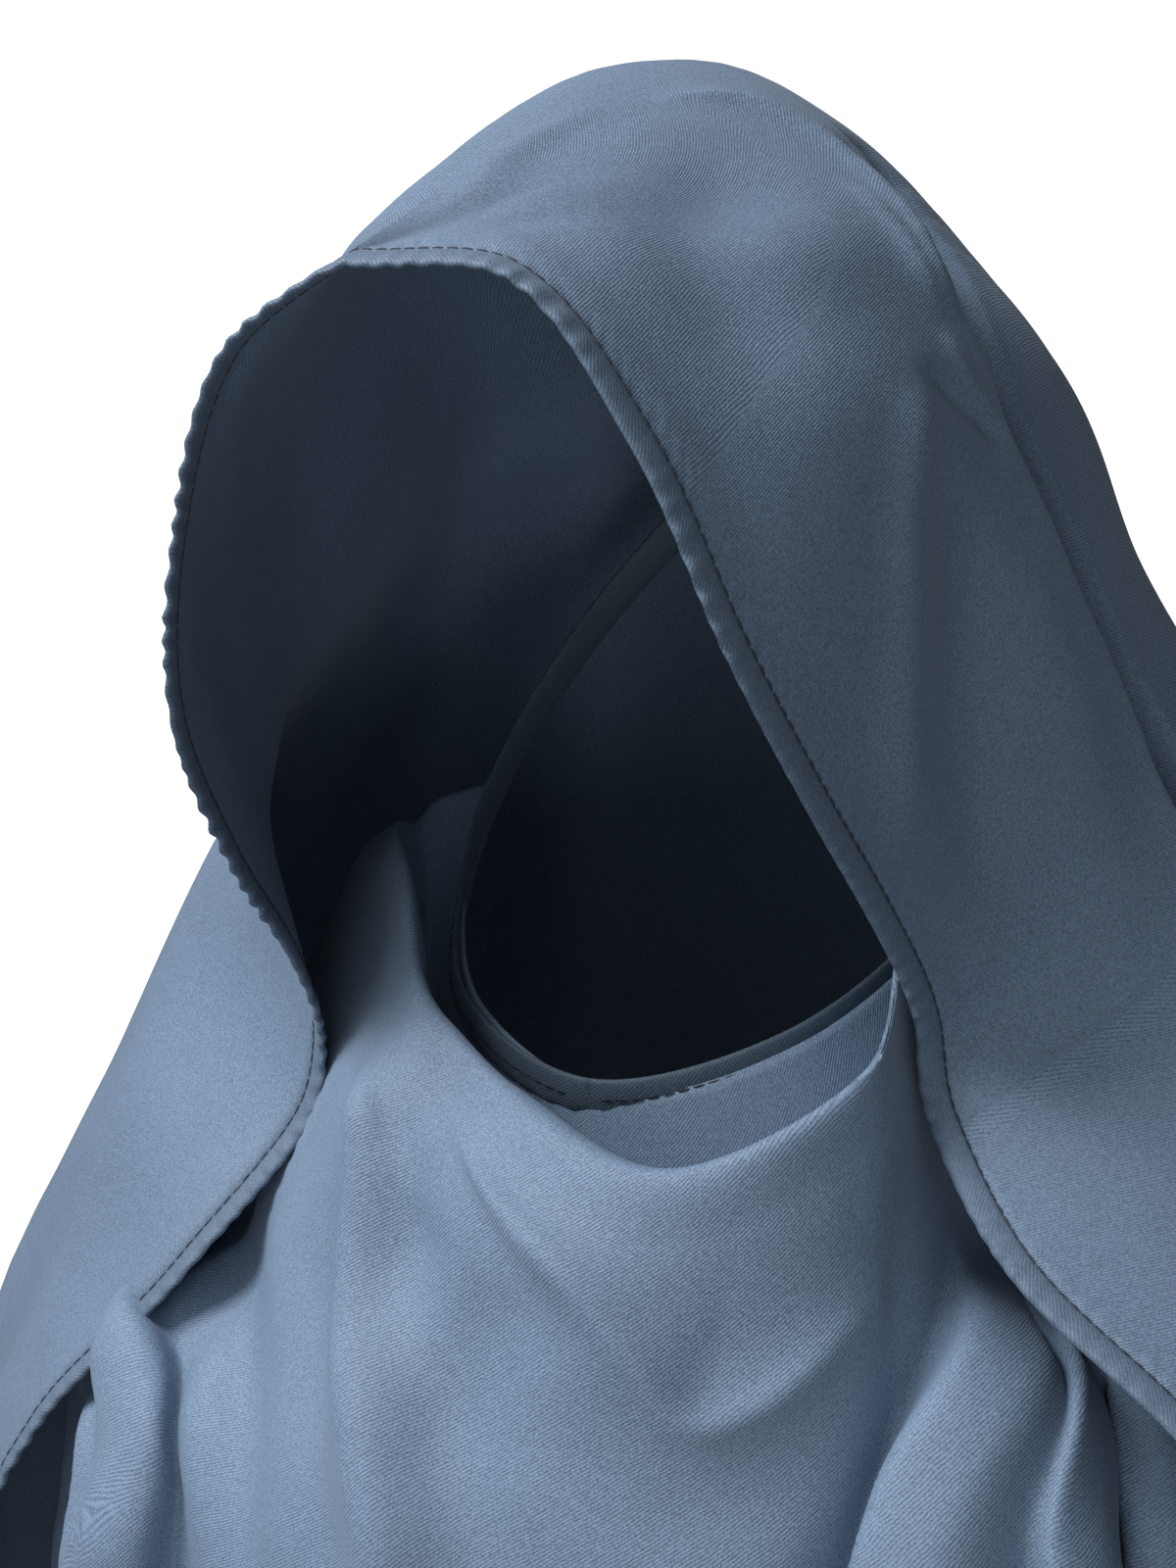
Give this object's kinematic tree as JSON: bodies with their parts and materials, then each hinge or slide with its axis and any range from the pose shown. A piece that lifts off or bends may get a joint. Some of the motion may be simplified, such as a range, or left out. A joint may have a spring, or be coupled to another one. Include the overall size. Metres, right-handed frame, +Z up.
{
  "type": "khimar veil",
  "caption": "Long draped veil: an outer cape open round the face with a turned, puckered hem, over a front panel that falls in a cowl from a folded chin band.",
  "frame": {"origin": "under the crown of the cape, where the top of the wearer's head sits, about 3 mm below the cloth", "axes": "+Z up, the face opening looks toward -Y, +X is the wearer's left"},
  "size_m": [0.5883, 0.4393, 0.8434],
  "materials": {
    "cape_crepe": "satin-backed crepe, fine diagonal twill, soft low sheen",
    "hem_crepe": "the same crepe folded and topstitched in dark navy, puckered along the stitches",
    "panel_crepe": "the same crepe in the inner layer, long soft folds",
    "band_crepe": "the same crepe folded into a flat casing with one stitch line"
  },
  "bodies": {
    "root": {"cape": "cape_crepe", "cape_hem": "hem_crepe", "cape_bottom_hem": "hem_crepe", "front_panel": "panel_crepe", "panel_bottom_hem": "hem_crepe", "chin_band": "band_crepe"}
  },
  "joints": []
}
